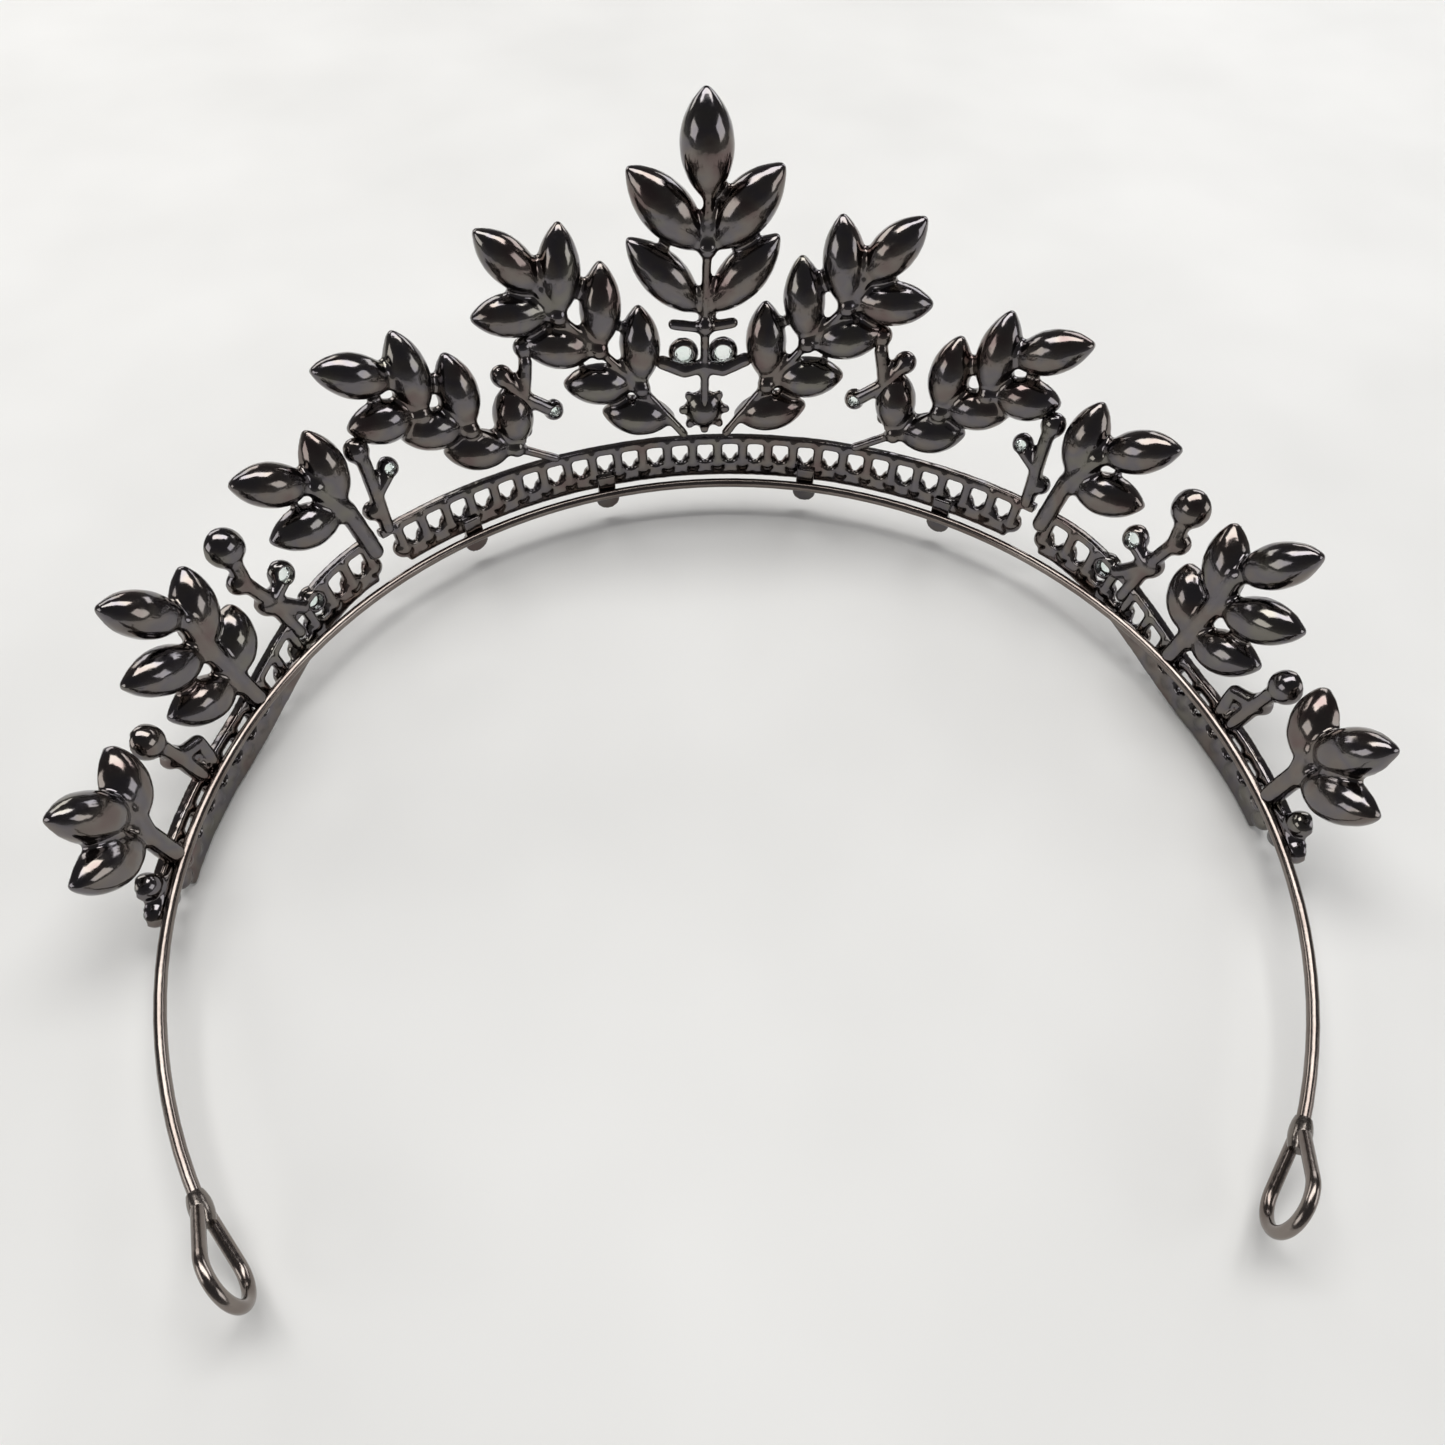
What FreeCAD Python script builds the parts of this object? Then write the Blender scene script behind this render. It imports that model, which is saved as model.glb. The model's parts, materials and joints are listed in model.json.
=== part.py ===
import FreeCAD, Part
import math
import os

# A bridal tiara: cast leaf sprays and berry twigs soldered along a pierced band of round settings,
# and the band soldered along a round wire that ends in two loops behind the wearer's ears.
# Millimetres. +Z is up, the wearer looks towards -Y and the wearer's left is +X. Everything is
# worked out about the centre of the wire's circle, then moved so that the origin is the middle of
# the whole object, at its lowest level.
#
# A place on the crown is given as (s, h): s is the distance along the wire from the front centre,
# and h is the distance up the leaning crown from the level of the wire. Directions on the crown are
# degrees from straight up, turning away from the front centre.

Vector = FreeCAD.Vector

# Wire headband.
wire_radius = 0.8
wire_circle = 77.5
wire_reach = 166.0
loop_radius = 4.2
loop_tilt = 10.0
loop_length = 13.0
loop_rise = 0.7
loop_neck = 0.9
loop_gap = 0.8
solder_radius = 1.35
solder_length = 4.2
solder_edge = 0.2
solder_shift = 0.6

# Crown surface: how far it stands in front of the wire, and how far it leans outwards.
crown_offset = 2.2
centre_lean = 10.5
side_lean = 16.6
end_lean = 10.4
side_distance = 80.0
end_distance = 120.0

# Leaf settings: a rounded back, a straight rim and a pocket for the stone.
leaf_width = 6.9
leaf_rim = 1.1
leaf_wall = 0.7
leaf_tip_wall = 1.1
leaf_blunt = 0.3
pocket_depth = 0.8
leaf_tilt = 4.0
stone_gap = 0.04
stone_rise = 1.2
stone_table = 0.55
stone_sides = 10

# Stems and twigs run behind the settings.
stem_radius = 0.8
thick_stem_radius = 1.6
knot_radius = 1.6
twig_radius = 1.2
cross_bar_radius = 0.9
round_bar_radius = 1.2
stem_depth = -1.2
twig_depth = -0.6
cross_bar_depth = -1.0
round_bar_depth = -0.9
thin_stems = ("inner_spray", "outer_spray")

# Band: round settings in a row under a rail.
band_pitch = 4.4
band_cup_radius = 1.85
band_height = 2.9
band_sink = 6.8
sink_start = 62.0
sink_end = 98.0
rail_above = 4.5
rail_height = 1.5
rail_depth = 1.7
web_below = 1.2
web_height = 2.8
web_depth = 1.2
strut_radius = 0.95
strut_depth = -0.3
centre_band_reach = 58.0
side_band_start = 58.7
side_band_end = 121.0
rail_step = 5.0

# Round settings.
cup_rim = 0.9
cup_wall = 0.42
cup_pocket = 0.7
cup_sides = 8
open_share = 0.72

# Solder tabs that hang below the wire in front.
tab_radius = 2.1
tab_thickness = 1.4
tab_drop = 4.0
tab_places = (18.0, 43.0)

# Where one piece is cut to another, loose scraps smaller than this are dropped (cubic millimetres).
sliver_volume = 0.5


def ease_between(value, start, end):
    """0 up to start, 1 from end on, and a smooth change between them."""
    share = min(max((value - start) / (end - start), 0.0), 1.0)
    return share * share * (3.0 - 2.0 * share)


def lean_at(s):
    """Outward lean of the crown: it grows from the front centre to the sides, then eases off."""
    rise = ease_between(abs(s), 0.0, side_distance)
    fall = ease_between(abs(s), side_distance, end_distance)
    return math.radians(centre_lean + (side_lean - centre_lean) * rise + (end_lean - side_lean) * fall)


def crown_axes(s):
    """Unit vectors along the band, up the lean and out of the front at s."""
    angle = s / wire_circle
    outward = Vector(math.sin(angle), -math.cos(angle), 0)
    along = Vector(math.cos(angle), math.sin(angle), 0)
    lean = lean_at(s)
    up = outward * math.sin(lean) + Vector(0, 0, math.cos(lean))
    front = outward * math.cos(lean) - Vector(0, 0, math.sin(lean))
    return along, up, front


def crown_point(s, h, depth=0.0):
    """The point at (s, h), moved out of the front by depth."""
    angle = s / wire_circle
    foot = Vector(math.sin(angle), -math.cos(angle), 0) * (wire_circle + crown_offset)
    along, up, front = crown_axes(s)
    return foot + up * h + front * depth


def spread_at(s, h):
    """How much longer a step along the band is at height h than at the wire."""
    return (wire_circle + crown_offset + h * math.sin(lean_at(s))) / wire_circle


def set_on_crown(shape, s, h, angle, depth=0.0, tilt=0.0):
    """Put a shape at (s, h): its X along the direction angle, its Z out of the front."""
    along, up, front = crown_axes(s)
    turn = math.radians(angle)
    lift = math.radians(tilt)
    flat = along * math.sin(turn) + up * math.cos(turn)
    length_axis = flat * math.cos(lift) + front * math.sin(lift)
    cross_axis = front.cross(flat)
    normal = length_axis.cross(cross_axis)
    place = crown_point(s, h, depth)
    matrix = FreeCAD.Matrix(
        length_axis.x, cross_axis.x, normal.x, place.x,
        length_axis.y, cross_axis.y, normal.y, place.y,
        length_axis.z, cross_axis.z, normal.z, place.z,
        0, 0, 0, 1)
    placed = shape.copy()
    placed.Placement = FreeCAD.Placement(matrix).multiply(shape.Placement)
    return placed


def fuse_all(shapes):
    """One solid from shapes that touch or overlap."""
    if len(shapes) == 1:
        return shapes[0]
    return shapes[0].multiFuse(shapes[1:]).removeSplitter()


def group(shapes):
    """Separate solids kept together as one piece list."""
    solids = [solid for shape in shapes for solid in shape.Solids]
    return solids[0] if len(solids) == 1 else Part.makeCompound(solids)


def without(shape, taken):
    """The shape less what another piece takes, and less the slivers that the cut leaves."""
    return group([solid for solid in shape.cut(taken).Solids if solid.Volume > sliver_volume])


# ---- Leaf settings and their stones ----

def leaf_outline(length, width, blunt, z):
    """A long oval about the origin: two arcs that meet two short blunt ends."""
    one_side = Part.Arc(Vector(-length / 2, blunt, z), Vector(0, width / 2, z),
                        Vector(length / 2, blunt, z)).toShape()
    other_side = Part.Arc(Vector(length / 2, -blunt, z), Vector(0, -width / 2, z),
                          Vector(-length / 2, -blunt, z)).toShape()
    tip = Part.makeLine(Vector(length / 2, blunt, z), Vector(length / 2, -blunt, z))
    base = Part.makeLine(Vector(-length / 2, -blunt, z), Vector(-length / 2, blunt, z))
    return Part.Wire([one_side, tip, other_side, base])


def spindle_profile(length, width, blunt):
    """Half of the long oval, closed along its long axis."""
    base = Vector(-length / 2, blunt, 0)
    tip = Vector(length / 2, blunt, 0)
    arc = Part.Arc(base, Vector(0, width / 2, 0), tip).toShape()
    axis_tip = Vector(length / 2, 0, 0)
    axis_base = Vector(-length / 2, 0, 0)
    edges = [arc, Part.makeLine(tip, axis_tip), Part.makeLine(axis_tip, axis_base),
             Part.makeLine(axis_base, base)]
    return Part.Face(Part.Wire(edges))


def leaf_cup(length, width):
    """Half a spindle behind a straight rim, with the stone's pocket cut into the front."""
    profile = spindle_profile(length, width, leaf_blunt)
    back = profile.revolve(Vector(0, 0, 0), Vector(1, 0, 0), -180)
    rim = Part.Face(leaf_outline(length, width, leaf_blunt, 0)).extrude(Vector(0, 0, leaf_rim))
    pocket_length = length - 2 * leaf_tip_wall
    pocket_width = width - 2 * leaf_wall
    pocket_outline = leaf_outline(pocket_length, pocket_width, leaf_blunt, leaf_rim - pocket_depth)
    pocket = Part.Face(pocket_outline).extrude(Vector(0, 0, pocket_depth * 2))
    return back.fuse(rim).removeSplitter().cut(pocket)


def stone_from(points, levels):
    """A faceted stone: the same outline at several heights, each with its own size."""
    rings = []
    for z, share in levels:
        ring = [Vector(x * share, y * share, z) for x, y in points]
        rings.append(Part.makePolygon(ring + ring[:1]))
    return Part.makeLoft(rings, True, True)


def leaf_stone(length, width):
    """A pointed-oval stone that fills the pocket and stands up to a flat table."""
    long = length - 2 * leaf_tip_wall - 2 * stone_gap - 0.3
    wide = width - 2 * leaf_wall - 2 * stone_gap
    arc_radius = (long * long + wide * wide) / (4 * wide)
    steps = stone_sides // 2
    upper = []
    for i in range(steps + 1):
        x = -long / 2 * math.cos(math.pi * i / steps)
        y = math.sqrt(arc_radius ** 2 - x * x) - (arc_radius - wide / 2)
        upper.append((x, y))
    points = upper[:-1] + [(-x, -y) for x, y in upper[:-1]]
    floor = leaf_rim - pocket_depth
    levels = ((floor, 0.8), (leaf_rim - 0.1, 0.98), (leaf_rim + stone_rise, stone_table))
    return stone_from(points, levels)


def leaf_centre(s, h, angle, length):
    """The middle of a leaf whose base is at (s, h)."""
    turn = math.radians(angle)
    middle_h = h + length / 2 * math.cos(turn)
    middle_s = s + length / 2 * math.sin(turn) / spread_at(s, middle_h)
    return middle_s, middle_h


# ---- Round settings and their stones ----

def round_cup(radius, dome, open_back=False):
    """A round setting turned from one profile: a domed back, a rim, and a pocket or a hole."""
    cap_radius = (radius * radius + dome * dome) / (2 * dome)
    cap_middle = cap_radius - dome
    pocket_radius = radius - cup_wall
    inner = open_share * pocket_radius if open_back else 0.0

    def on_cap(r):
        return Vector(r, 0, cap_middle - math.sqrt(cap_radius * cap_radius - r * r))

    arc = Part.Arc(on_cap(inner), on_cap((inner + radius) / 2), Vector(radius, 0, 0)).toShape()
    corners = [Vector(radius, 0, 0), Vector(radius, 0, cup_rim), Vector(pocket_radius, 0, cup_rim),
               Vector(pocket_radius, 0, cup_rim - cup_pocket), Vector(inner, 0, cup_rim - cup_pocket),
               on_cap(inner)]
    lines = [Part.makeLine(start, end) for start, end in zip(corners, corners[1:])]
    profile = Part.Face(Part.Wire([arc] + lines))
    return profile.revolve(Vector(0, 0, 0), Vector(0, 0, 1), 360)


def round_stone(radius):
    """A small round stone, flat on top, that fills a round setting's pocket."""
    girdle = radius - cup_wall - stone_gap
    points = []
    for i in range(cup_sides):
        angle = 2 * math.pi * i / cup_sides
        points.append((girdle * math.cos(angle), girdle * math.sin(angle)))
    floor = cup_rim - cup_pocket
    levels = ((floor, 0.75), (cup_rim - 0.1, 1.0), (cup_rim + 0.35 * radius, 0.6))
    return stone_from(points, levels)


# ---- Stems ----

def rod(places, radius, depth, knot):
    """Round rod through places on the crown, with a ball of the knot's radius at each bend."""
    points = [crown_point(s, h, depth) for s, h in places]
    pieces = [Part.makeSphere(radius, point) for point in (points[0], points[-1])]
    pieces += [Part.makeSphere(knot, point) for point in points[1:-1]]
    for start, end in zip(points, points[1:]):
        run = end - start
        pieces.append(Part.makeCylinder(radius, run.Length, start, run))
    return pieces


def bar_along(start, end, height_of, height, depth, middle_depth):
    """A bar of rectangular section along the band, lofted through sections square to it."""
    count = max(3, round((end - start) / rail_step) + 1)
    sections = []
    for i in range(count):
        s = start + (end - start) * i / (count - 1)
        along, up, front = crown_axes(s)
        middle = crown_point(s, height_of(s), middle_depth)
        corners = [middle + up * (a * height / 2) + front * (b * depth / 2)
                   for a, b in ((-1, -1), (-1, 1), (1, 1), (1, -1))]
        sections.append(Part.makePolygon(corners + corners[:1]))
    return Part.makeLoft(sections, True, False)


# ---- Sprays ----
# Each spray: the places its stem runs through, then its leaves as (s, h, direction, length). A leaf
# may end with a width of its own.

sprays = {
    "inner_spray": (
        ((3.6, 9.2), (10.2, 18.4), (16.2, 26.0), (21.6, 32.6), (24.0, 37.6)),
        ((23.2, 36.4, 38, 13.6), (21.4, 32.2, -10, 14.2), (21.9, 33.0, 84, 13.4),
         (16.0, 25.9, -8, 13.8), (16.5, 25.6, 76, 12.6), (10.1, 18.8, -3, 13.2),
         (10.9, 19.0, 84, 12.4), (5.0, 11.9, 80, 12.8))),
    "outer_spray": (
        ((26.0, 8.4), (32.0, 12.2), (38.4, 17.8), (44.8, 23.0), (47.0, 28.6)),
        ((46.4, 29.2, 62, 13.2), (44.5, 22.6, 0, 13.8), (45.2, 23.2, 82, 11.4),
         (38.2, 17.8, 2, 12.8), (38.5, 18.3, 76, 11.9), (32.2, 12.2, 78, 12.0),
         (31.8, 12.2, -8, 10.6))),
    "shoulder_spray": (
        ((60.2, 6.0), (61.2, 14.6), (63.8, 20.2)),
        ((63.6, 20.6, 60, 12.8), (61.0, 15.2, -2, 12.8), (61.4, 14.4, 82, 12.6))),
    "side_spray": (
        ((90.0, 0.4), (90.8, 11.6), (90.6, 18.0)),
        ((90.4, 17.8, 38, 12.8), (91.0, 11.8, -31, 12.8), (91.6, 12.0, 62, 13.4),
         (90.2, 5.0, -43, 11.4), (90.6, 4.8, 68, 12.0))),
    "end_spray": (
        ((117.4, -1.2), (117.8, 7.2), (116.6, 10.8)),
        ((116.8, 10.2, 32, 12.8), (117.4, 7.8, -42, 11.6), (118.4, 6.4, 55, 13.2))),
}

# Each twig: its rods as lists of places, then its round settings as (s, h, radius, open back).
twigs = {
    "inner_berries": (
        (((29.8, 14.6), (29.0, 20.4), (27.6, 26.0)), ((29.0, 20.4), (31.0, 23.8)),
         ((29.0, 20.4), (25.0, 17.0))),
        ((27.3, 28.2, 1.7, False), (31.4, 24.4, 1.9, False), (24.6, 16.6, 1.8, True))),
    "outer_berries": (
        (((56.4, 8.0), (55.8, 14.0), (55.4, 20.6)), ((55.8, 14.0), (52.4, 16.6))),
        ((55.5, 21.6, 2.1, False), (52.2, 16.8, 1.8, True), (57.2, 11.4, 1.6, False))),
    "upper_berries": (
        (((77.6, 2.6), (78.4, 9.6), (80.0, 15.0), (79.2, 20.0)), ((78.4, 9.6), (74.6, 11.2)),
         ((78.4, 9.6), (74.8, 5.4))),
        ((79.0, 20.6, 3.1, False), (80.3, 15.0, 1.9, False), (74.3, 11.6, 2.2, True),
         (78.5, 9.4, 2.2, False), (72.6, 4.8, 2.3, True))),
    "lower_berries": (
        (((104.6, -0.6), (105.4, 6.4), (106.2, 11.0)), ((102.0, -0.4), (101.6, 4.6), (105.4, 6.4))),
        ((106.4, 11.6, 2.6, False), (105.4, 6.6, 1.8, False))),
    "end_terminal": (
        (((119.8, -0.2), (122.6, 0.6), (125.0, -0.8)), ((122.6, 0.6), (122.4, -2.0))),
        ((122.9, 2.0, 2.0, False), (125.5, -0.9, 1.9, False), (122.3, -2.5, 1.7, False))),
}

centre_stem = ((0.0, 13.0), (-0.3, 28.5), (-0.8, 41.0), (-1.0, 49.2))
centre_leaves = (
    (-1.0, 47.8, 0, 15.4, 8.3), (-0.3, 40.6, 43, 16.6, 8.1), (-1.3, 40.6, -43, 16.6, 8.1),
    (0.3, 30.6, 44, 16.4, 7.2), (-0.9, 30.6, -44, 16.4, 7.2))
round_bar = ((6.6, 22.6), (3.1, 20.8), (0.0, 21.6), (-3.1, 20.8), (-6.6, 22.6))
cross_bar = ((-4.6, 29.0), (0.0, 28.2), (4.6, 29.0))
centre_rounds = ((3.1, 23.4), (-3.1, 23.4))
centre_round_radius = 2.6
rosette_place = (0.0, 13.1)
rosette_radius = 3.4
rosette_petals = 8
petal_radius = 0.75
petal_reach = 3.75
petal_height = 1.0


def set_leaf(make, leaf):
    """What make(length, width) gives, set on the crown as this leaf lies."""
    s, h, angle, length = leaf[:4]
    width = leaf[4] if len(leaf) > 4 else leaf_width
    middle_s, middle_h = leaf_centre(s, h, angle, length)
    return set_on_crown(make(length, width), middle_s, middle_h, angle, tilt=leaf_tilt)


def spray_casting(stem, leaves, radius=stem_radius):
    """Leaf settings along one stem, cast in one: each leaf is joined to the stem in turn."""
    casting = fuse_all(rod(stem, radius, stem_depth, knot_radius))
    for leaf in leaves:
        casting = casting.fuse(set_leaf(leaf_cup, leaf))
    return casting.removeSplitter()


def spray_stones(leaves):
    """One stone for each leaf of a spray."""
    return group([set_leaf(leaf_stone, leaf) for leaf in leaves])


def twig_casting(rods, cups):
    """A thin branch with round settings, cast in one."""
    pieces = []
    for places in rods:
        pieces.extend(rod(places, twig_radius, twig_depth, twig_radius))
    for s, h, radius, open_back in cups:
        pieces.append(set_on_crown(round_cup(radius, 0.85 * radius, open_back), s, h, 0))
    casting = fuse_all(pieces)
    for s, h, radius, open_back in cups:
        clear = radius - cup_wall
        room = Part.makeCylinder(clear, cup_pocket * 2, Vector(0, 0, cup_rim - cup_pocket))
        casting = casting.cut(set_on_crown(room, s, h, 0))
        if open_back:
            hole = Part.makeCylinder(clear * open_share, 8 * cup_rim, Vector(0, 0, -4 * cup_rim))
            casting = casting.cut(set_on_crown(hole, s, h, 0))
    return casting


def twig_stones(cups):
    """One stone for each round setting of a twig."""
    return group([set_on_crown(round_stone(radius), s, h, 0) for s, h, radius, _ in cups])


# ---- Band ----

def band_line(s):
    """Height of the band's row of round settings: it sinks below the wire along the sides."""
    return band_height - band_sink * ease_between(abs(s), sink_start, sink_end)


def band_places(start, end):
    """Evenly spaced places for round settings between two distances."""
    count = int((end - start - 2 * band_cup_radius) / band_pitch) + 1
    first = (start + end - (count - 1) * band_pitch) / 2
    return [first + i * band_pitch for i in range(count)]


def band_casting(start, end):
    """A rail over a row of round settings, joined by a web, so that it is pierced between them."""
    rail = bar_along(start, end, lambda s: band_line(s) + rail_above, rail_height, rail_depth, -0.2)
    places = band_places(start, end)
    web = bar_along(places[0], places[-1], lambda s: band_line(s) - web_below,
                    web_height, web_depth, -0.1)
    pieces = [rail, web]
    for s in places:
        pieces.append(set_on_crown(round_cup(band_cup_radius, 1.2), s, band_line(s), 0))
        strut = Part.makeCylinder(strut_radius, rail_above, Vector(0, 0, 0), Vector(1, 0, 0))
        pieces.append(set_on_crown(strut, s, band_line(s), 0, strut_depth))
    casting = fuse_all(pieces)
    for s in places:
        clear = band_cup_radius - cup_wall
        room = Part.makeCylinder(clear, cup_pocket * 2, Vector(0, 0, cup_rim - cup_pocket))
        casting = casting.cut(set_on_crown(room, s, band_line(s), 0))
    return casting


def band_stones(start, end):
    """One small round stone for each setting of a band."""
    stone = round_stone(band_cup_radius)
    return group([set_on_crown(stone, s, band_line(s), 0) for s in band_places(start, end)])


# ---- Wire, loops and solder ----

def wire_arc():
    """The headband: round wire bent to a circle and left open at the back."""
    start = -wire_reach / wire_circle
    place = Vector(wire_circle * math.sin(start), -wire_circle * math.cos(start), 0)
    direction = Vector(math.cos(start), math.sin(start), 0)
    section = Part.Face(Part.Wire(Part.makeCircle(wire_radius, place, direction)))
    sweep = math.degrees(2 * wire_reach / wire_circle)
    return section.revolve(Vector(0, 0, 0), Vector(0, 0, 1), sweep)


def wire_end():
    """The wearer's left end of the headband and the way the wire points there."""
    angle = wire_reach / wire_circle
    place = Vector(wire_circle * math.sin(angle), -wire_circle * math.cos(angle), 0)
    return place, Vector(math.cos(angle), math.sin(angle), 0)


def end_loop():
    """The wearer's left loop: two legs spread from the neck and meet an arc at the back."""
    neck, along = wire_end()
    rise = FreeCAD.Rotation(along, loop_tilt).multVec(Vector(0, 0, 1))
    square = along.cross(rise)
    middle = neck + along * (loop_length - loop_radius) + rise * loop_rise
    starts = []
    touches = []
    for side in (1, -1):
        start = neck + along * loop_gap + rise * (side * loop_neck)
        reach = middle - start
        spread = math.asin(loop_radius / reach.Length)
        leg = FreeCAD.Rotation(square, math.degrees(side * spread)).multVec(reach)
        starts.append(start)
        touches.append(start + leg * math.cos(spread))
    upper = Part.makeLine(starts[0], touches[0])
    arc = Part.Arc(touches[0], middle + along * loop_radius, touches[1]).toShape()
    lower = Part.makeLine(touches[1], starts[1])
    section = Part.Wire(Part.makeCircle(wire_radius, starts[0], touches[0] - starts[0]))
    return Part.Wire([upper, arc, lower]).makePipeShell([section], True, False)


def loop_solder():
    """The bead of solder that closes the wearer's left loop on the end of the wire."""
    neck, along = wire_end()
    bead = spindle_profile(solder_length, 2 * solder_radius, wire_radius + solder_edge)
    bead = bead.revolve(Vector(0, 0, 0), Vector(1, 0, 0), 360)
    bead.rotate(Vector(0, 0, 0), Vector(0, 0, 1), math.degrees(wire_reach / wire_circle))
    bead.translate(neck + along * solder_shift)
    return bead


def solder_tab(s):
    """A rounded tab that grips the wire from in front and hangs below it."""
    post = Part.makeCylinder(tab_radius, tab_thickness, Vector(0, 0, -tab_thickness / 2))
    neck = Part.makeBox(tab_drop + 1.2, 2 * tab_radius * 0.75, tab_thickness,
                        Vector(0, -tab_radius * 0.75, -tab_thickness / 2))
    tab = post.fuse(neck)
    angle = s / wire_circle
    outward = Vector(math.sin(angle), -math.cos(angle), 0)
    along = Vector(math.cos(angle), math.sin(angle), 0)
    place = outward * (wire_circle + wire_radius + tab_thickness / 2)
    place = place + Vector(0, 0, tab_radius - tab_drop)
    matrix = FreeCAD.Matrix(
        0, -along.x, outward.x, place.x,
        0, -along.y, outward.y, place.y,
        1, 0, 0, place.z,
        0, 0, 0, 1)
    tab.Placement = FreeCAD.Placement(matrix)
    return tab


# ---- Centre ----

def centre_casting():
    """Five wide leaves in a fan on the centre stem, with two cross bars under them."""
    leaves = spray_casting(centre_stem, centre_leaves)
    bars = rod(cross_bar, cross_bar_radius, cross_bar_depth, cross_bar_radius)
    bars += rod(round_bar, round_bar_radius, round_bar_depth, round_bar_radius)
    return fuse_all([leaves] + bars)


def rosette_casting():
    """The round setting at the foot of the centre stem, ringed with petals."""
    s, h = rosette_place
    pieces = [set_on_crown(round_cup(rosette_radius, 0.6 * rosette_radius), s, h, 0)]
    for i in range(rosette_petals):
        angle = 2 * math.pi * i / rosette_petals
        place = Vector(petal_reach * math.cos(angle), petal_reach * math.sin(angle), -petal_height / 2)
        petal = Part.makeCylinder(petal_radius, petal_height, place)
        pieces.append(set_on_crown(petal, s, h, 0))
    return fuse_all(pieces)


def mirrored(shape):
    """The same piece on the wearer's right."""
    return shape.mirror(Vector(0, 0, 0), Vector(1, 0, 0))


def build_pieces():
    """Every piece by name. What is soldered on is cut to the piece it is soldered to."""
    pieces = {}
    wire = wire_arc()
    centre_band = band_casting(-centre_band_reach, centre_band_reach)
    left_band = band_casting(side_band_start, side_band_end)
    pieces["headband_wire"] = wire
    pieces["centre_band"] = centre_band
    pieces["centre_band_stones"] = band_stones(-centre_band_reach, centre_band_reach)
    pieces["left_band"] = left_band
    pieces["left_band_stones"] = band_stones(side_band_start, side_band_end)

    solder = loop_solder()
    pieces["left_loop_solder"] = without(solder, wire)
    pieces["left_end_loop"] = without(without(end_loop(), wire), solder)

    tabs = [without(solder_tab(side * s), centre_band) for s in tab_places for side in (1, -1)]
    pieces["wire_solder_tabs"] = group(tabs)

    rosette = rosette_casting()
    pieces["base_rosette"] = rosette
    pieces["base_rosette_stone"] = set_on_crown(round_stone(rosette_radius), *rosette_place, 0)
    rounds = [set_on_crown(round_cup(centre_round_radius, 1.4, True), s, h, 0) for s, h in centre_rounds]
    spray = without(centre_casting(), rosette)
    pieces["centre_spray"] = spray
    pieces["centre_spray_stones"] = spray_stones(centre_leaves)
    pieces["centre_round_settings"] = group([without(setting, spray) for setting in rounds])
    pieces["centre_round_stones"] = group(
        [set_on_crown(round_stone(centre_round_radius), s, h, 0) for s, h in centre_rounds])

    foundation = centre_band.fuse(left_band)
    taken = Part.makeCompound([foundation, rosette, wire])
    for name, (stem, leaves) in sprays.items():
        radius = stem_radius if name in thin_stems else thick_stem_radius
        pieces["left_" + name] = without(spray_casting(stem, leaves, radius), taken)
        pieces["left_" + name + "_stones"] = spray_stones(leaves)
    for name, (rods, cups) in twigs.items():
        pieces["left_" + name] = without(twig_casting(rods, cups), taken)
        pieces["left_" + name + "_stones"] = twig_stones(cups)

    for name in [name for name in pieces if name.startswith("left_")]:
        pieces[name.replace("left_", "right_")] = mirrored(pieces[name])
    return pieces


def move_to_origin(pieces):
    """Put the origin at the middle of the whole object, at its lowest level."""
    everything = Part.makeCompound(list(pieces.values()))
    box = everything.optimalBoundingBox(False)
    shift = Vector(-(box.XMin + box.XMax) / 2, -(box.YMin + box.YMax) / 2, -box.ZMin)
    for shape in pieces.values():
        shape.translate(shift)
    return box, shift


def main():
    os.makedirs("parts", exist_ok=True)
    pieces = build_pieces()
    box, shift = move_to_origin(pieces)
    print("size", round(box.XLength, 2), round(box.YLength, 2), round(box.ZLength, 2))
    print("moved by", round(shift.x, 3), round(shift.y, 3), round(shift.z, 3))
    for name, shape in pieces.items():
        print(name, "solids", len(shape.Solids), "valid", shape.isValid(), "volume", round(shape.Volume, 1))
        shape.exportStep("parts/" + name + ".step")


main()
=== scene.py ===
import bpy
import bmesh
import json
import math
import numpy as np
from mathutils import Matrix, Vector


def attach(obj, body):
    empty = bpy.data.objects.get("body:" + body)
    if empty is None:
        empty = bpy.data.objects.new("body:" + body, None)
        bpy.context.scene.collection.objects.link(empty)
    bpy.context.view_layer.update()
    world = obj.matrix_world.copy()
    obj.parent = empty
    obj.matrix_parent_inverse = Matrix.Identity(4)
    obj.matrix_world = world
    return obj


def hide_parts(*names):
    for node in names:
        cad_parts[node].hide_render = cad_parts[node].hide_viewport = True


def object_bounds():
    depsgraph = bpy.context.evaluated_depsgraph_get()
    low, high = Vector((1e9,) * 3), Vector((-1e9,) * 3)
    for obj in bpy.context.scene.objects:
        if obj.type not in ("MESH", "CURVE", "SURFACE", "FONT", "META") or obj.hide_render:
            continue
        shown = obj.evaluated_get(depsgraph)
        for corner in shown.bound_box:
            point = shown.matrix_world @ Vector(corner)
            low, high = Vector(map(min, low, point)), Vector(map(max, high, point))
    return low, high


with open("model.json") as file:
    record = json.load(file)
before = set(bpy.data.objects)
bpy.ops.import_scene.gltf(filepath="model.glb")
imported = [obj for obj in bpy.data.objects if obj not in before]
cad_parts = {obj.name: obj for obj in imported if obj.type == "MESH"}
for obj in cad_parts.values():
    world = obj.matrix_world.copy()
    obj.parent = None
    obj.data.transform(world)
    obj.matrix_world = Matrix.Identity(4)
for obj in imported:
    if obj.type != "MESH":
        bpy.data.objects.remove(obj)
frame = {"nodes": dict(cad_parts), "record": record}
cad_low, cad_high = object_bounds()
nodes = frame["nodes"]
record = frame["record"]

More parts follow.
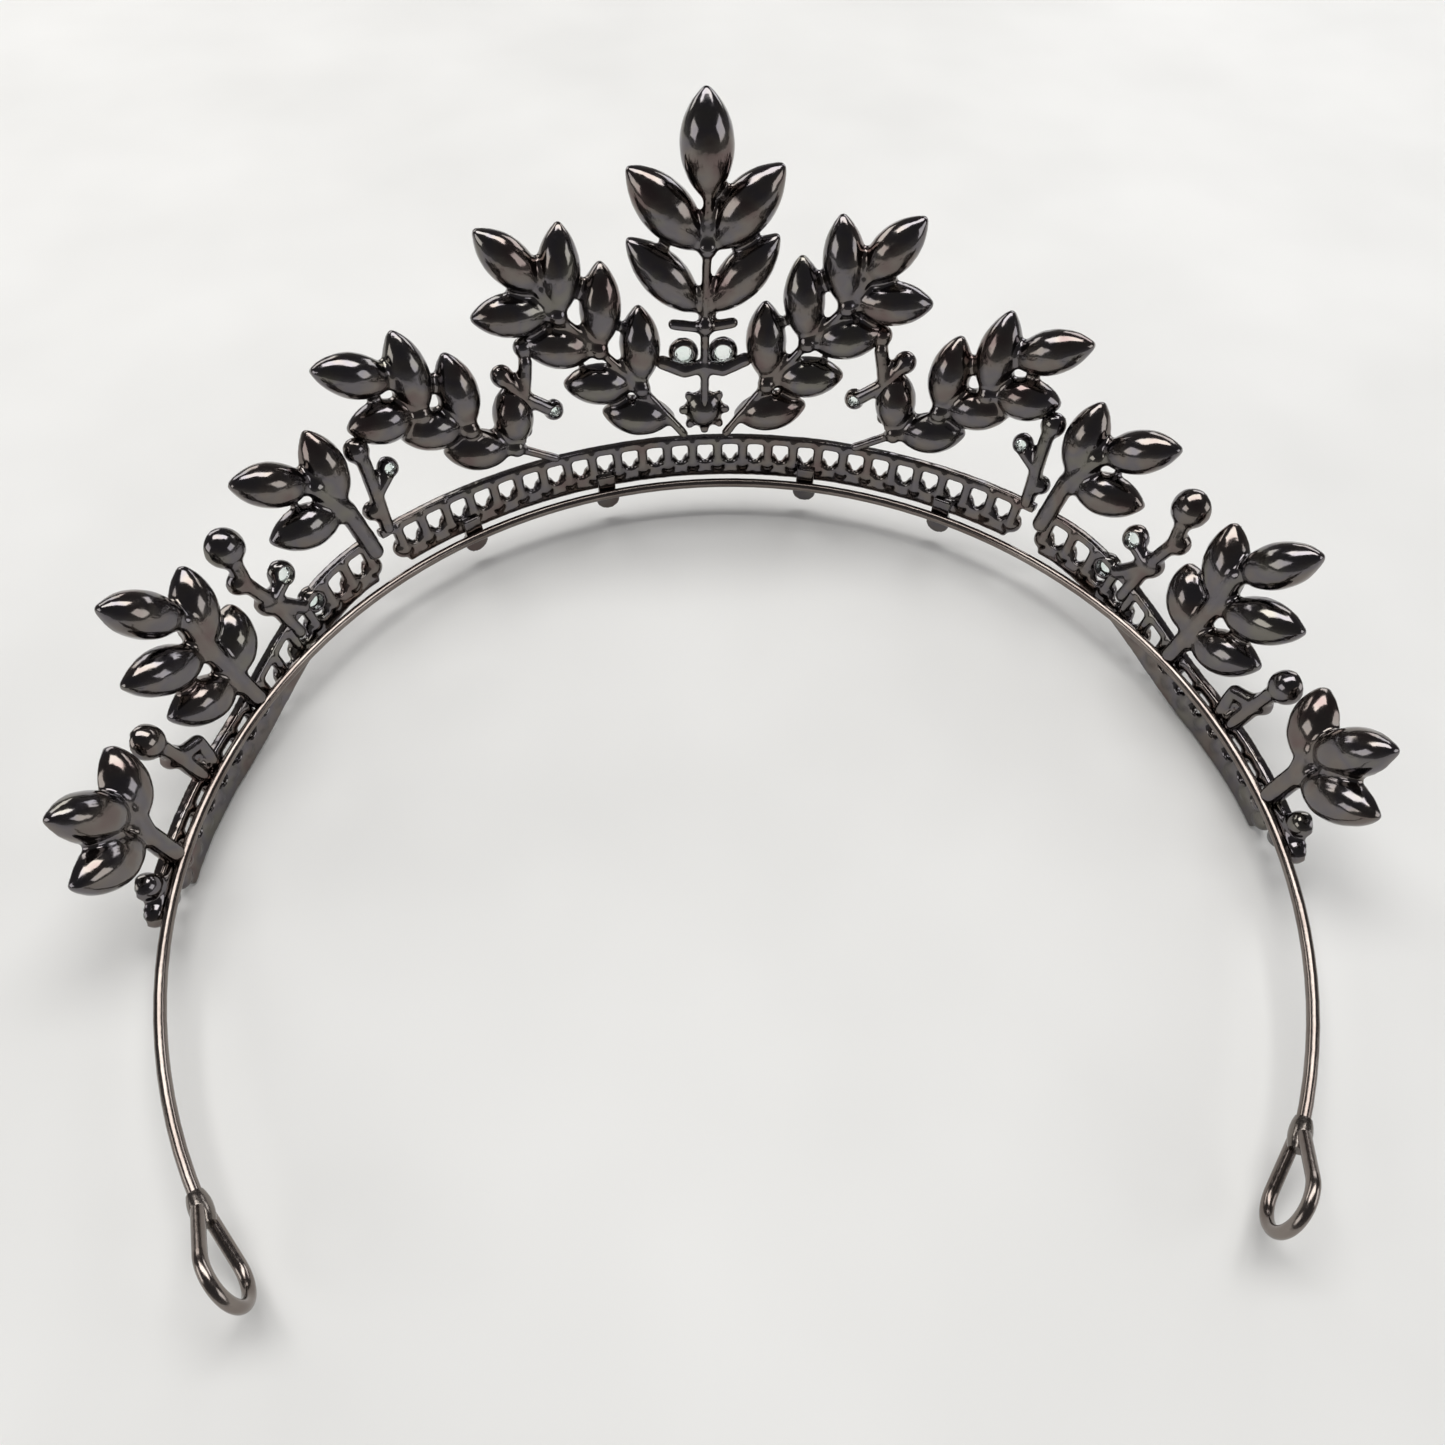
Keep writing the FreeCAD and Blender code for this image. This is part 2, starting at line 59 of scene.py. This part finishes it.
# A bridal tiara. The castings are remeshed from the CAD solids and smoothed, so that leaves, stems
# and webs run into each other as cast metal does. The stones are cut afresh with real facets.
# Shapes are worked on in millimetres and set back to metres at the end.

MILLIMETRE = 0.001
WELD_DISTANCE = 0.001

# Castings: voxel size, how far gaps are closed, and smoothing passes. Lengths are in millimetres.
SPRAY_VOXEL = 0.22
SPRAY_CLOSE = 0.35
SPRAY_SMOOTH = 8
TWIG_VOXEL = 0.2
TWIG_CLOSE = 0.35
TWIG_SMOOTH = 5
BAND_VOXEL = 0.2
BAND_CLOSE = 0.25
BAND_SMOOTH = 5
SMOOTH_FACTOR = 0.5
CAST_UNEVENNESS = 0.14
CLOUD_SIZE = 2.4

# Claws, in millimetres: lift above the stone's underside, reach past its edge, and radii along its
# long axis, across it and outwards.
LEAF_CLAW_LIFT = 0.8
LEAF_CLAW_REACH = 0.25
LEAF_CLAW_RADII = (0.85, 0.6, 0.75)
ROUND_CLAWS = 4
ROUND_CLAW_LIFT = 0.75
ROUND_CLAW_REACH = 0.1
ROUND_CLAW_RADII = (0.32, 0.32, 0.5)

# Stones. A stone longer than LONG_STONE times its width is a pointed oval. Each ring of a cut stone
# has its share of the outline, and its level as a share of the stone's height.
LEAF_SIDES = 16
ROUND_SIDES = 12
LONG_STONE = 1.5
BOTTOM_RING = (0.62, 0.0)
GIRDLE_LOW_RING = (0.99, 0.3)
GIRDLE_HIGH_RING = (0.99, 0.4)
CROWN_RING = (0.80, 0.74)
TABLE_RING = (0.55, 1.0)
CRYSTAL_IOR = 1.56
FACET_WEAR = 0.04

# Noise of the finishes, in cells per millimetre. The pits are a small share of the waves' height.
TINT_CELLS = 0.16
WEAR_CELLS = 2.2
WAVE_CELLS = 0.75
PIT_CELLS = 9.0
PIT_SHARE = 0.05
STONE_TINT_CELLS = 0.3
STONE_WEAR_CELLS = 4.0
FLOOR_CELLS = 0.02

# Colours laid along a noise or a height.
GUNMETAL_TINTS = (
    (0.30, (0.155, 0.118, 0.112)), (0.44, (0.18, 0.16, 0.145)),
    (0.56, (0.15, 0.14, 0.15)), (0.70, (0.18, 0.17, 0.15)))
WIRE_TINTS = ((0.35, (0.18, 0.15, 0.135)), (0.65, (0.24, 0.21, 0.19)))
SOLDER_TINTS = ((0.35, (0.17, 0.15, 0.135)), (0.65, (0.23, 0.205, 0.185)))
LEAF_CRYSTAL_TINTS = ((0.35, (0.90, 0.93, 0.95)), (0.65, (0.95, 0.97, 0.96)))
ROUND_CRYSTAL_TINTS = ((0.35, (0.80, 0.92, 0.87)), (0.65, (0.93, 0.97, 0.95)))
FLOOR_TINTS = ((0.3, (0.84, 0.84, 0.82)), (0.7, (0.90, 0.90, 0.88)))
ROOM_TINTS = (
    (0.0, (0.20, 0.20, 0.195)), (0.25, (0.13, 0.125, 0.125)),
    (0.45, (0.09, 0.085, 0.09)), (1.0, (0.07, 0.07, 0.075)))

# Floor, and soft lights: name, place, target, width and height in metres, then watts and colour.
FLOOR_REACH = 1.6
FLOOR_ROUGHNESS = 0.6
SOFT_LIGHTS = (
    ("overhead", (0.0, -0.5, 1.5), (0, 0.2, 0.0), 1.8, 0.7, 21.0, (1.0, 0.99, 0.98)),
    ("far_left", (0.9, -1.3, 0.6), (0, 0.1, 0.0), 0.9, 0.5, 4.0, (1.0, 0.99, 0.97)),
    ("far_right", (-0.9, -1.3, 0.6), (0, 0.1, 0.0), 0.9, 0.5, 4.0, (0.97, 0.98, 1.0)),
    ("left_side", (1.5, 0.5, 0.7), (0, 0.15, 0.0), 1.0, 0.8, 5.0, (1.0, 0.99, 0.98)),
    ("right_side", (-1.5, 0.5, 0.7), (0, 0.15, 0.0), 1.0, 0.8, 5.0, (0.98, 0.99, 1.0)))

# Camera: millimetres from the middle of the wire's circle, degrees, and a lens for the sensor's
# width in millimetres. The nearest distance it shows is in metres.
CAMERA_FROM_WIRE = (7.81, 72.62, 131.99)
CAMERA_AZIMUTH = 4.35
CAMERA_ELEVATION = 54.0
CAMERA_ROLL = -0.74
CAMERA_LENS = 26.43
CAMERA_SENSOR = 36.0
CAMERA_NEAR = 0.005


# ---- Meshes ----

def welded(mesh):
    """A bmesh of the mesh in millimetres, with split corners joined."""
    work = bmesh.new()
    work.from_mesh(mesh)
    bmesh.ops.scale(work, vec=(1 / MILLIMETRE,) * 3, verts=work.verts)
    bmesh.ops.remove_doubles(work, verts=work.verts, dist=WELD_DISTANCE)
    return work


def new_piece(name, mesh, body="root"):
    """A shown piece that rides on the body."""
    piece = bpy.data.objects.new(name, mesh)
    bpy.context.scene.collection.objects.link(piece)
    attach(piece, body)
    return piece


def islands(node):
    """The separate solids of a node, each as an array of points in millimetres."""
    work = welded(nodes[node].data)
    work.verts.ensure_lookup_table()
    seen = set()
    found = []
    for first in work.verts:
        if first.index in seen:
            continue
        queue = [first]
        seen.add(first.index)
        points = []
        while queue:
            vertex = queue.pop()
            points.append(tuple(vertex.co))
            for edge in vertex.link_edges:
                other = edge.other_vert(vertex)
                if other.index not in seen:
                    seen.add(other.index)
                    queue.append(other)
        found.append(np.array(points))
    work.free()
    return found


def head_middle():
    """The middle of the wire's circle, in millimetres."""
    for mount in record["mounts"]:
        if mount["name"] == "head_seat":
            return np.array(mount["pos_m"]) / MILLIMETRE
    raise KeyError("head_seat")


def stone_frames(node):
    """For each stone: its middle, long axis, cross axis, outward normal and three sizes."""
    centre = head_middle()
    frames = []
    for points in islands(node):
        middle = (points.min(0) + points.max(0)) / 2
        spread = points - points.mean(0)
        axes = np.linalg.eigh(spread.T @ spread)[1]
        normal, cross, long = axes[:, 0], axes[:, 1], axes[:, 2]
        outward = middle - centre
        outward[2] = 0
        if normal @ outward < 0:
            normal = -normal
        cross = np.cross(normal, long)
        place = points.mean(0)
        sizes = []
        offsets = []
        for axis in (long, cross, normal):
            along = spread @ axis
            sizes.append(along.max() - along.min())
            offsets.append((along.max() + along.min()) / 2)
        for axis, offset in zip((long, cross, normal), offsets):
            place = place + axis * offset
        frames.append((place, long, cross, normal, sizes))
    return frames


def add_blob(work, place, axes, radii, detail=2):
    """An ellipsoid of metal at a place in a casting, before it is remeshed."""
    made = bmesh.ops.create_icosphere(work, subdivisions=detail, radius=1.0)
    columns = [Vector(axis) * radius for axis, radius in zip(axes, radii)]
    turn = Matrix((columns[0], columns[1], columns[2])).transposed().to_4x4()
    bmesh.ops.transform(work, matrix=Matrix.Translation(Vector(place)) @ turn, verts=made["verts"])


def add_claws(work, stones_node):
    """Small claws over the ends and sides of every stone."""
    for place, long, cross, normal, sizes in stone_frames(stones_node):
        length, width, height = sizes
        axes = (long, cross, normal)
        if length > LONG_STONE * width:
            rim = place - normal * (height / 2 - LEAF_CLAW_LIFT)
            for side in (-1, 1):
                end = rim + long * side * (length / 2 + LEAF_CLAW_REACH)
                add_blob(work, end, axes, LEAF_CLAW_RADII)
        else:
            rim = place - normal * (height / 2 - ROUND_CLAW_LIFT)
            for i in range(ROUND_CLAWS):
                angle = math.pi / ROUND_CLAWS + i * 2 * math.pi / ROUND_CLAWS
                reach = long * math.cos(angle) + cross * math.sin(angle)
                claw = rim + reach * (width / 2 + ROUND_CLAW_REACH)
                add_blob(work, claw, axes, ROUND_CLAW_RADII, detail=1)


def add_remesh(piece, voxel):
    """A modifier that rebuilds the piece from voxels."""
    step = piece.modifiers.new("remesh", "REMESH")
    step.mode = "VOXEL"
    step.voxel_size = voxel


def add_growth(piece, distance):
    """A modifier that moves the whole surface outwards, or inwards when it is negative."""
    step = piece.modifiers.new("grow", "DISPLACE")
    step.mid_level = 0.0
    step.strength = distance


def add_cast_surface(piece, passes):
    """Modifiers for the slight unevenness of a casting and its soft edges."""
    uneven = piece.modifiers.new("uneven", "DISPLACE")
    uneven.texture = casting_clouds
    uneven.texture_coords = "LOCAL"
    uneven.mid_level = 0.5
    uneven.strength = CAST_UNEVENNESS
    smooth = piece.modifiers.new("smooth", "SMOOTH")
    smooth.factor = SMOOTH_FACTOR
    smooth.iterations = passes


def cast(node, voxel, close, passes, stones_node=None):
    """The node's solid as one smooth casting, which replaces it."""
    work = welded(nodes[node].data)
    if stones_node:
        add_claws(work, stones_node)
    mesh = bpy.data.meshes.new(node + "_rough")
    work.to_mesh(mesh)
    work.free()
    rough = bpy.data.objects.new(node + "_rough", mesh)
    bpy.context.scene.collection.objects.link(rough)

    add_remesh(rough, voxel)
    if close:
        add_growth(rough, close)
        add_remesh(rough, voxel)
        add_growth(rough, -close)
        add_remesh(rough, voxel)
    add_cast_surface(rough, passes)
    depsgraph = bpy.context.evaluated_depsgraph_get()
    made = bpy.data.meshes.new_from_object(rough.evaluated_get(depsgraph))
    bpy.data.objects.remove(rough)
    made.transform(Matrix.Scale(MILLIMETRE, 4))
    made.name = node + "_cast"
    made.shade_smooth()
    made.materials.clear()
    made.materials.append(gunmetal)
    piece = new_piece(node + "_cast", made)
    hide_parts(node)
    return piece


def outline(sides, length, width):
    """Points round a stone: a pointed oval of two arcs when it is long, else a circle."""
    points = []
    if length > LONG_STONE * width:
        arc_radius = (length * length + width * width) / (4 * width)
        half = sides // 2
        for i in range(sides):
            share = i % half / half
            x = -length / 2 * math.cos(math.pi * share)
            y = math.sqrt(arc_radius ** 2 - x * x) - (arc_radius - width / 2)
            points.append((x, y) if i < half else (-x, -y))
    else:
        for i in range(sides):
            angle = 2 * math.pi * i / sides
            points.append((length / 2 * math.cos(angle), width / 2 * math.sin(angle)))
    return points


def cut_stone(work, stone):
    """A faceted stone in its setting: pavilion, girdle, kite-shaped crown facets and a table."""
    place, long, cross, normal, (length, width, height) = stone
    sides = LEAF_SIDES if length > LONG_STONE * width else ROUND_SIDES
    points = outline(sides, length, width)
    halfway = []
    for i in range(sides):
        ahead = points[(i + 1) % sides]
        halfway.append(((points[i][0] + ahead[0]) / 2, (points[i][1] + ahead[1]) / 2))

    def ring(source, share, level):
        made = []
        for x, y in source:
            spot = place + long * x * share + cross * y * share + normal * (level - 0.5) * height
            made.append(work.verts.new(spot))
        return made

    bottom = ring(points, *BOTTOM_RING)
    girdle_low = ring(points, *GIRDLE_LOW_RING)
    girdle_high = ring(points, *GIRDLE_HIGH_RING)
    crown = ring(halfway, *CROWN_RING)
    table = ring(points, *TABLE_RING)
    work.faces.new(list(reversed(bottom)))
    work.faces.new(table)
    for i in range(sides):
        j = (i + 1) % sides
        work.faces.new((bottom[i], bottom[j], girdle_low[j], girdle_low[i]))
        work.faces.new((girdle_low[i], girdle_low[j], girdle_high[j], girdle_high[i]))
        work.faces.new((girdle_high[i], girdle_high[j], crown[i]))
        work.faces.new((girdle_high[j], crown[j], crown[i]))
        work.faces.new((crown[i], crown[j], table[j]))
        work.faces.new((crown[i], table[j], table[i]))


def stones(node, material):
    """All stones of a node, cut afresh, as one piece that replaces it."""
    work = bmesh.new()
    for stone in stone_frames(node):
        cut_stone(work, stone)
    bmesh.ops.recalc_face_normals(work, faces=work.faces)
    bmesh.ops.scale(work, vec=(MILLIMETRE,) * 3, verts=work.verts)
    mesh = bpy.data.meshes.new(node + "_cut")
    work.to_mesh(mesh)
    work.free()
    mesh.materials.append(material)
    piece = new_piece(node + "_cut", mesh)
    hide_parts(node)
    return piece


# ---- Materials ----

def new_material(name):
    """A material with nodes, its tree, its main shader and object coordinates in millimetres."""
    material = bpy.data.materials.new(name)
    material.use_nodes = True
    tree = material.node_tree
    shader = tree.nodes["Principled BSDF"]
    coordinates = tree.nodes.new("ShaderNodeTexCoord")
    scale = tree.nodes.new("ShaderNodeVectorMath")
    scale.operation = "SCALE"
    scale.inputs["Scale"].default_value = 1 / MILLIMETRE
    tree.links.new(coordinates.outputs["Object"], scale.inputs[0])
    return material, tree, shader, scale.outputs[0]


def noise_from(tree, place, scale, detail=3.0, roughness=0.5):
    """Noise of so many cells per millimetre."""
    node = tree.nodes.new("ShaderNodeTexNoise")
    node.inputs["Scale"].default_value = scale
    node.inputs["Detail"].default_value = detail
    node.inputs["Roughness"].default_value = roughness
    tree.links.new(place, node.inputs["Vector"])
    return node.outputs["Fac"]


def ramp_from(tree, value, stops):
    """Colours laid along a value."""
    node = tree.nodes.new("ShaderNodeValToRGB")
    elements = node.color_ramp.elements
    while len(elements) < len(stops):
        elements.new(0.5)
    for element, (position, colour) in zip(elements, stops):
        element.position = position
        element.color = (*colour, 1)
    tree.links.new(value, node.inputs["Fac"])
    return node.outputs["Color"]


def range_from(tree, value, low, high, start=0.3, end=0.7):
    """A value between two numbers."""
    node = tree.nodes.new("ShaderNodeMapRange")
    node.inputs["From Min"].default_value = start
    node.inputs["From Max"].default_value = end
    node.inputs["To Min"].default_value = low
    node.inputs["To Max"].default_value = high
    tree.links.new(value, node.inputs["Value"])
    return node.outputs["Result"]


def bump_from(tree, height, distance, before=None):
    """Small relief, in millimetres."""
    node = tree.nodes.new("ShaderNodeBump")
    node.inputs["Strength"].default_value = 1.0
    node.inputs["Distance"].default_value = distance * MILLIMETRE
    tree.links.new(height, node.inputs["Height"])
    if before:
        tree.links.new(before, node.inputs["Normal"])
    return node.outputs["Normal"]


def plated_metal(name, tints, smooth, rough, waviness):
    """Dark plating: slow changes of tint, fine wear in the gloss and the waviness of a casting."""
    material, tree, shader, place = new_material(name)
    slow = noise_from(tree, place, TINT_CELLS, detail=2.0)
    fine = noise_from(tree, place, WEAR_CELLS, detail=5.0, roughness=0.6)
    wave = noise_from(tree, place, WAVE_CELLS, detail=1.0)
    pits = noise_from(tree, place, PIT_CELLS, detail=2.0)
    shader.inputs["Metallic"].default_value = 1.0
    tree.links.new(ramp_from(tree, slow, tints), shader.inputs["Base Color"])
    tree.links.new(range_from(tree, fine, smooth, rough), shader.inputs["Roughness"])
    relief = bump_from(tree, wave, waviness)
    relief = bump_from(tree, pits, waviness * PIT_SHARE, relief)
    tree.links.new(relief, shader.inputs["Normal"])
    return material


def crystal(name, tints):
    """Clear cut crystal with a faint, uneven tint and slightly worn facets."""
    material, tree, shader, place = new_material(name)
    slow = noise_from(tree, place, STONE_TINT_CELLS, detail=1.0)
    fine = noise_from(tree, place, STONE_WEAR_CELLS, detail=3.0)
    shader.inputs["Transmission Weight"].default_value = 1.0
    shader.inputs["IOR"].default_value = CRYSTAL_IOR
    tree.links.new(ramp_from(tree, slow, tints), shader.inputs["Base Color"])
    tree.links.new(range_from(tree, fine, 0.0, FACET_WEAR), shader.inputs["Roughness"])
    return material


def floor_material():
    """Plain pale board with a very slight mottle."""
    material, tree, shader, place = new_material("pale_floor")
    mottle = noise_from(tree, place, FLOOR_CELLS, detail=2.0)
    tree.links.new(ramp_from(tree, mottle, FLOOR_TINTS), shader.inputs["Base Color"])
    shader.inputs["Roughness"].default_value = FLOOR_ROUGHNESS
    return material


gunmetal = plated_metal("gunmetal_plating", GUNMETAL_TINTS, smooth=0.08, rough=0.17, waviness=0.03)
wire_metal = plated_metal("headband_plating", WIRE_TINTS, smooth=0.12, rough=0.26, waviness=0.02)
solder_metal = plated_metal("solder_plating", SOLDER_TINTS, smooth=0.14, rough=0.30, waviness=0.10)
leaf_crystal = crystal("leaf_crystal", LEAF_CRYSTAL_TINTS)
round_crystal = crystal("round_crystal", ROUND_CRYSTAL_TINTS)

casting_clouds = bpy.data.textures.new("casting_clouds", "CLOUDS")
casting_clouds.noise_scale = CLOUD_SIZE
casting_clouds.noise_depth = 1


# ---- Pieces ----

def spray_names():
    """Every leaf spray that is a node."""
    return [name for name in sorted(nodes) if name.endswith("_spray")]


def twig_names():
    """Every small casting that carries round settings."""
    endings = ("_berries", "_terminal")
    named = [name for name in sorted(nodes) if name.endswith(endings)]
    return named + ["centre_round_settings", "base_rosette"]


def stones_of(name):
    """The node that holds a casting's stones."""
    if name == "centre_round_settings":
        return "centre_round_stones"
    if name == "base_rosette":
        return "base_rosette_stone"
    return name + "_stones"


def plate(name, material):
    """A CAD node that keeps its own shape and gets a finish."""
    mesh = nodes[name].data
    mesh.materials.clear()
    mesh.materials.append(material)
    mesh.shade_smooth()


for name in spray_names():
    cast(name, SPRAY_VOXEL, SPRAY_CLOSE, SPRAY_SMOOTH, stones_of(name))
for name in twig_names():
    cast(name, TWIG_VOXEL, TWIG_CLOSE, TWIG_SMOOTH, stones_of(name))
for name in ("centre_band", "left_band", "right_band"):
    cast(name, BAND_VOXEL, BAND_CLOSE, BAND_SMOOTH, stones_of(name))
cast("wire_solder_tabs", TWIG_VOXEL, 0, TWIG_SMOOTH)

for name in sorted(nodes):
    if name.endswith("_stones") or name.endswith("_stone"):
        if "spray" in name:
            stones(name, leaf_crystal)
        else:
            stones(name, round_crystal)

for name in ("headband_wire", "left_end_loop", "right_end_loop"):
    plate(name, wire_metal)
for name in ("left_loop_solder", "right_loop_solder"):
    plate(name, solder_metal)


# ---- Floor, light and camera ----

def add_floor():
    """A wide pale floor under the lowest point."""
    level = cad_low[2]
    mesh = bpy.data.meshes.new("floor")
    signs = ((-1, -1), (1, -1), (1, 1), (-1, 1))
    corners = [(x * FLOOR_REACH, y * FLOOR_REACH, level) for x, y in signs]
    mesh.from_pydata(corners, [], [(0, 1, 2, 3)])
    mesh.materials.append(floor_material())
    floor = bpy.data.objects.new("floor", mesh)
    bpy.context.scene.collection.objects.link(floor)


def add_soft_light(name, place, target, width, height, watts, colour):
    """A rectangular soft light that faces its target."""
    light = bpy.data.lights.new(name, "AREA")
    light.shape = "RECTANGLE"
    light.size = width
    light.size_y = height
    light.energy = watts
    light.color = colour
    lamp = bpy.data.objects.new(name, light)
    lamp.location = place
    lamp.rotation_euler = (Vector(target) - Vector(place)).to_track_quat("-Z", "Y").to_euler()
    bpy.context.scene.collection.objects.link(lamp)


def add_world():
    """A plain room: dim overhead and lighter towards the horizon."""
    world = bpy.data.worlds.new("room")
    world.use_nodes = True
    tree = world.node_tree
    direction = tree.nodes.new("ShaderNodeTexCoord").outputs["Generated"]
    parts = tree.nodes.new("ShaderNodeSeparateXYZ")
    tree.links.new(direction, parts.inputs[0])
    colour = ramp_from(tree, parts.outputs["Z"], ROOM_TINTS)
    tree.links.new(colour, tree.nodes["Background"].inputs["Color"])
    bpy.context.scene.world = world


def add_camera():
    """The camera behind and above the tiara, which looks down into the headband."""
    azimuth = math.radians(CAMERA_AZIMUTH)
    elevation = math.radians(CAMERA_ELEVATION)
    roll = math.radians(CAMERA_ROLL)
    forward = Vector((-math.sin(azimuth) * math.cos(elevation),
                      -math.cos(azimuth) * math.cos(elevation), -math.sin(elevation)))
    level = forward.cross(Vector((0, 0, 1))).normalized()
    down = forward.cross(level)
    right = level * math.cos(roll) + down * math.sin(roll)
    up = level * math.sin(roll) - down * math.cos(roll)
    camera = bpy.data.cameras.new("camera")
    camera.lens = CAMERA_LENS
    camera.sensor_width = CAMERA_SENSOR
    camera.clip_start = CAMERA_NEAR
    rig = bpy.data.objects.new("camera", camera)
    turn = Matrix((right, up, -forward)).transposed().to_4x4()
    place = Vector(head_middle() + np.array(CAMERA_FROM_WIRE)) * MILLIMETRE
    rig.matrix_world = Matrix.Translation(place) @ turn
    bpy.context.scene.collection.objects.link(rig)
    bpy.context.scene.camera = rig


add_floor()
add_world()
for light in SOFT_LIGHTS:
    add_soft_light(*light)
add_camera()
bpy.context.scene.view_settings.view_transform = "Standard"
